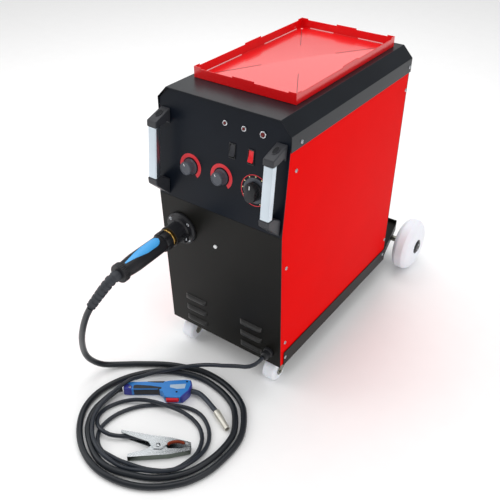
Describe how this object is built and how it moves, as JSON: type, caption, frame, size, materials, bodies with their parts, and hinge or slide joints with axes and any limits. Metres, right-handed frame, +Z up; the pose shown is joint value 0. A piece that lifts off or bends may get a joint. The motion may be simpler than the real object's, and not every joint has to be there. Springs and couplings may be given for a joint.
{
  "type": "wire feed welding machine",
  "caption": "Wheeled sheet-metal cabinet that feeds welding wire from a spool behind a side door to a torch lead, with controls, lifting handles, tool tray and earth clamp.",
  "frame": {"origin": "centre of the footprint on the floor, measured without the leads", "axes": "+X to the right seen from the front, +Y towards the rear wheels, +Z up; the control panel faces -Y"},
  "size_m": [0.4461, 1.1021, 0.6857],
  "materials": {
    "black_paint": "satin enamel",
    "blue_black": "printed satin film",
    "red_paint": "powder-coated gloss",
    "grey_paint": "powder-coated gloss",
    "zinc": "zinc plated",
    "core_steel": "dark laminated steel",
    "aluminium": "clear anodised",
    "dark_plastic": "moulded satin",
    "nylon": "moulded satin",
    "blue_plastic": "moulded satin",
    "red_plastic": "moulded gloss",
    "rubber": "smooth extruded",
    "brass": "machined or drawn"
  },
  "bodies": {
    "cabinet": {"base_pan": "black_paint", "bottle_platform": "black_paint", "front_panel": "black_paint", "rear_panel": "black_paint", "control_panel": "blue_black", "right_side_panel": "red_paint", "top_tray": "red_paint", "hood": "grey_paint", "inner_divider": "zinc", "castor_plate_left": "zinc", "castor_plate_right": "zinc", "rear_axle": "zinc", "torch_neck": "zinc", "earth_clamp_fixed_arm": "zinc", "transformer": "core_steel", "feed_motor": "core_steel", "handle_bar_left": "aluminium", "handle_bar_right": "aluminium", "feed_plate": "aluminium", "gas_nozzle": "aluminium", "handle_bracket_left_upper": "dark_plastic", "handle_bracket_left_lower": "dark_plastic", "handle_bracket_right_upper": "dark_plastic", "handle_bracket_right_lower": "dark_plastic", "time_switch_housing": "dark_plastic", "power_switch_housing": "dark_plastic", "torch_socket": "dark_plastic", "torch_plug_nut": "dark_plastic", "torch_plug_housing": "dark_plastic", "earth_cable_gland": "dark_plastic", "spool_hub": "dark_plastic", "fan_frame": "dark_plastic", "torch_handle": "blue_plastic", "led_left": "red_plastic", "led_middle": "red_plastic", "led_right": "red_plastic", "torch_strain_relief": "rubber", "torch_cable": "rubber", "earth_cable": "rubber", "gas_valve": "brass"},
    "door": {"left_side_door": "red_paint"},
    "latch": {"door_latch": "dark_plastic"},
    "time_rocker": {"time_switch_rocker": "dark_plastic"},
    "power_rocker": {"power_switch_rocker": "red_plastic"},
    "delay_knob": {"delay_knob": "dark_plastic"},
    "speed_knob": {"speed_knob": "dark_plastic"},
    "range_switch": {"range_switch_knob": "dark_plastic"},
    "castor_fork_left": {"castor_fork_left": "zinc"},
    "castor_wheel_left": {"castor_wheel_left": "nylon"},
    "rear_wheel_left": {"rear_wheel_left": "nylon"},
    "castor_fork_right": {"castor_fork_right": "zinc"},
    "castor_wheel_right": {"castor_wheel_right": "nylon"},
    "rear_wheel_right": {"rear_wheel_right": "nylon"},
    "fan": {"fan_rotor": "dark_plastic"},
    "drive_roll": {"drive_roll": "zinc"},
    "pressure_arm": {"pressure_arm": "aluminium"},
    "pressure_roll": {"pressure_roll": "zinc"},
    "spool": {"wire_spool": "brass"},
    "trigger": {"torch_trigger": "red_plastic"},
    "clamp_jaw": {"earth_clamp_moving_arm": "zinc"}
  },
  "joints": [
    {"name": "side_door_hinge", "type": "hinge", "parent": "cabinet", "child": "door", "pos_m": [-0.157, 0.1859, 0.35], "axis": [0, 0, -1], "range_deg": [0, 88]},
    {"name": "door_latch_turn", "type": "hinge", "parent": "door", "child": "latch", "pos_m": [-0.1573, -0.2811, 0.36], "axis": [-1, 0, 0], "range_deg": [0, 90]},
    {"name": "time_switch_tip", "type": "hinge", "parent": "cabinet", "child": "time_rocker", "pos_m": [0.0294, -0.31033, 0.57277], "axis": [1, 0, 0], "range_deg": [0, 20]},
    {"name": "power_switch_tip", "type": "hinge", "parent": "cabinet", "child": "power_rocker", "pos_m": [0.0733, -0.31033, 0.57277], "axis": [1, 0, 0], "range_deg": [0, 20]},
    {"name": "delay_knob_turn", "type": "hinge", "parent": "cabinet", "child": "delay_knob", "pos_m": [-0.0735, -0.32108, 0.5104], "axis": [0, -0.9942, 0.1071], "range_deg": [-135, 135]},
    {"name": "speed_knob_turn", "type": "hinge", "parent": "cabinet", "child": "speed_knob", "pos_m": [0.0055, -0.32094, 0.5117], "axis": [0, -0.9942, 0.1071], "range_deg": [-135, 135]},
    {"name": "range_switch_turn", "type": "hinge", "parent": "cabinet", "child": "range_switch", "pos_m": [0.087, -0.32135, 0.5079], "axis": [0, -0.9942, 0.1071], "range_deg": [0, 270]},
    {"name": "castor_swivel_left", "type": "hinge", "parent": "cabinet", "child": "castor_fork_left", "pos_m": [-0.122, -0.2621, 0.06], "axis": [0, 0, 1], "continuous": true},
    {"name": "castor_roll_left", "type": "hinge", "parent": "castor_fork_left", "child": "castor_wheel_left", "pos_m": [-0.122, -0.2921, 0.026], "axis": [1, 0, 0], "continuous": true},
    {"name": "rear_wheel_roll_left", "type": "hinge", "parent": "cabinet", "child": "rear_wheel_left", "pos_m": [-0.185, 0.2999, 0.0725], "axis": [1, 0, 0], "continuous": true},
    {"name": "castor_swivel_right", "type": "hinge", "parent": "cabinet", "child": "castor_fork_right", "pos_m": [0.122, -0.2621, 0.06], "axis": [0, 0, 1], "continuous": true},
    {"name": "castor_roll_right", "type": "hinge", "parent": "castor_fork_right", "child": "castor_wheel_right", "pos_m": [0.122, -0.2921, 0.026], "axis": [1, 0, 0], "continuous": true},
    {"name": "rear_wheel_roll_right", "type": "hinge", "parent": "cabinet", "child": "rear_wheel_right", "pos_m": [0.185, 0.2999, 0.0725], "axis": [1, 0, 0], "continuous": true},
    {"name": "fan_spin", "type": "hinge", "parent": "cabinet", "child": "fan", "pos_m": [0.06, 0.1789, 0.39], "axis": [0, 1, 0], "continuous": true},
    {"name": "drive_roll_spin", "type": "hinge", "parent": "cabinet", "child": "drive_roll", "pos_m": [-0.1018, -0.2061, 0.3382], "axis": [1, 0, 0], "continuous": true},
    {"name": "pressure_arm_lift", "type": "hinge", "parent": "cabinet", "child": "pressure_arm", "pos_m": [-0.0878, -0.1661, 0.369], "axis": [-1, 0, 0], "range_deg": [0, 60]},
    {"name": "pressure_roll_spin", "type": "hinge", "parent": "pressure_arm", "child": "pressure_roll", "pos_m": [-0.1018, -0.2061, 0.369], "axis": [1, 0, 0], "continuous": true},
    {"name": "spool_spin", "type": "hinge", "parent": "cabinet", "child": "spool", "pos_m": [-0.1018, 0.0189, 0.445], "axis": [1, 0, 0], "continuous": true},
    {"name": "trigger_press", "type": "hinge", "parent": "cabinet", "child": "trigger", "pos_m": [-0.01042, -0.48194, 0.0115], "axis": [0, 0, -1], "range_deg": [0, 4], "stiffness_Nm_per_rad": 0.05, "springref_deg": -11.46},
    {"name": "clamp_open", "type": "hinge", "parent": "cabinet", "child": "clamp_jaw", "pos_m": [0.0475, -0.6111, 0.01], "axis": [0, 0, -1], "range_deg": [0, 10], "stiffness_Nm_per_rad": 1, "springref_deg": -17.19}
  ],
  "couplings": [
    {"joint": "pressure_roll_spin", "follows": "drive_roll_spin", "ratio": -1}
  ]
}
